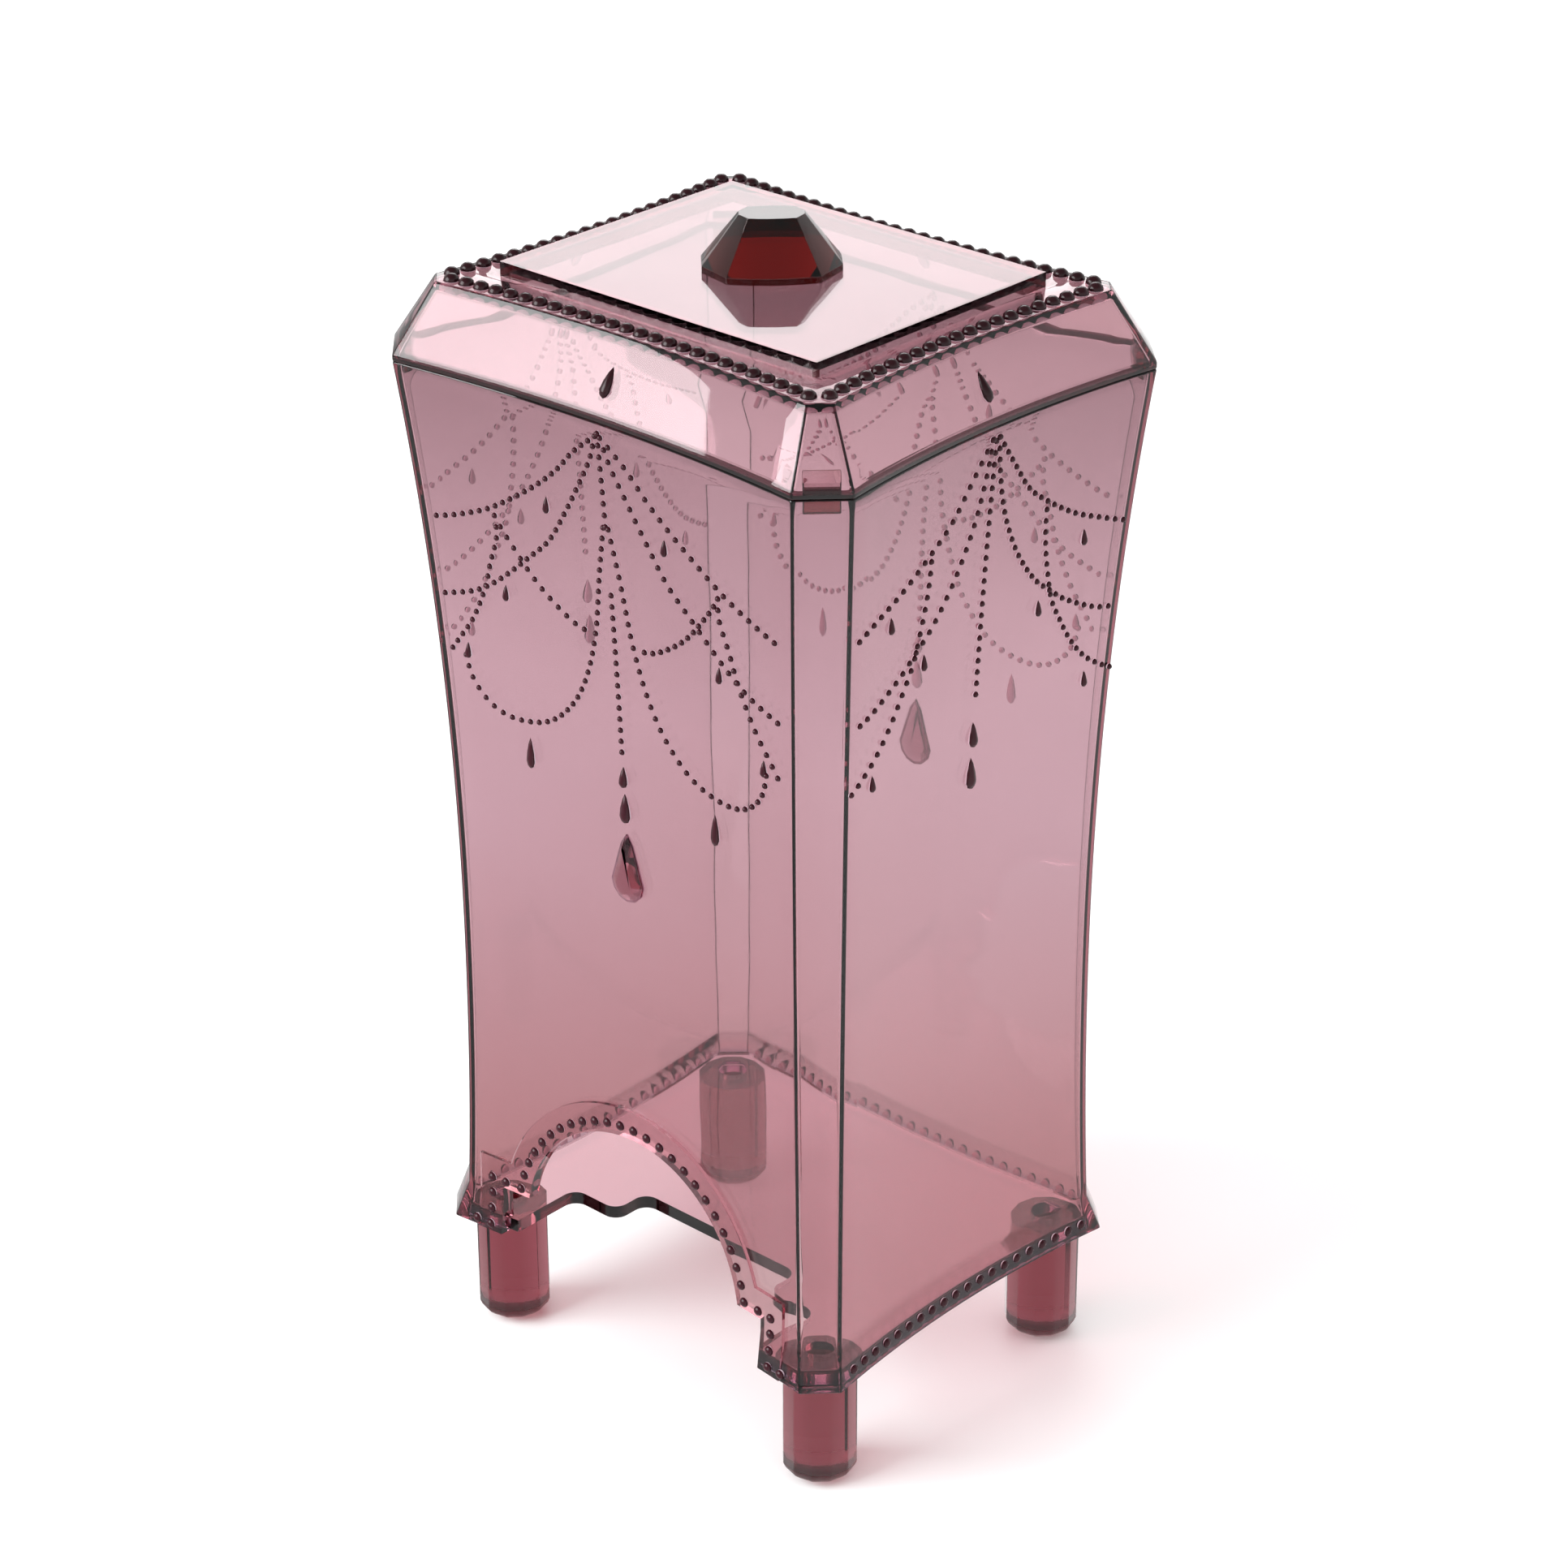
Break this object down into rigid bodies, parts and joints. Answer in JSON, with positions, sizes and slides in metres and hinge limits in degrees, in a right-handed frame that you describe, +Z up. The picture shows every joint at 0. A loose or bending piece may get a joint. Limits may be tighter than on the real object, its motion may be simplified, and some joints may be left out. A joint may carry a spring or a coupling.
{
  "type": "cotton pad holder",
  "caption": "Waisted box of clear tinted plastic with concave walls on faceted legs, an arched front opening for taking pads and a lift-off lid with a gem-cut knob.",
  "frame": {"origin": "centre of the footprint on the plane that the legs stand on", "axes": "+Z up through the lid's knob; the arched front faces -Y; +X to the right seen from the front"},
  "size_m": [0.0884, 0.0762, 0.1843],
  "materials": {
    "clear_rose_body": "clear tinted plastic, polished",
    "clear_rose_floor": "clear tinted plastic, polished",
    "deep_rose_legs": "clear tinted plastic in thick section, polished facets",
    "clear_rose_lid": "clear tinted plastic, polished",
    "garnet_knob": "deep red clear plastic, polished gem facets"
  },
  "bodies": {
    "box": {"body_shell": "clear_rose_body", "floor_plate": "clear_rose_floor", "front_left_leg": "deep_rose_legs", "front_right_leg": "deep_rose_legs", "rear_left_leg": "deep_rose_legs", "rear_right_leg": "deep_rose_legs"},
    "lid": {"lid_shell": "clear_rose_lid", "gem_knob": "garnet_knob"}
  },
  "joints": [
    {"name": "lid_lift", "type": "slide", "parent": "box", "child": "lid", "axis": [0, 0, 1], "range_m": [0, 0.04]}
  ]
}
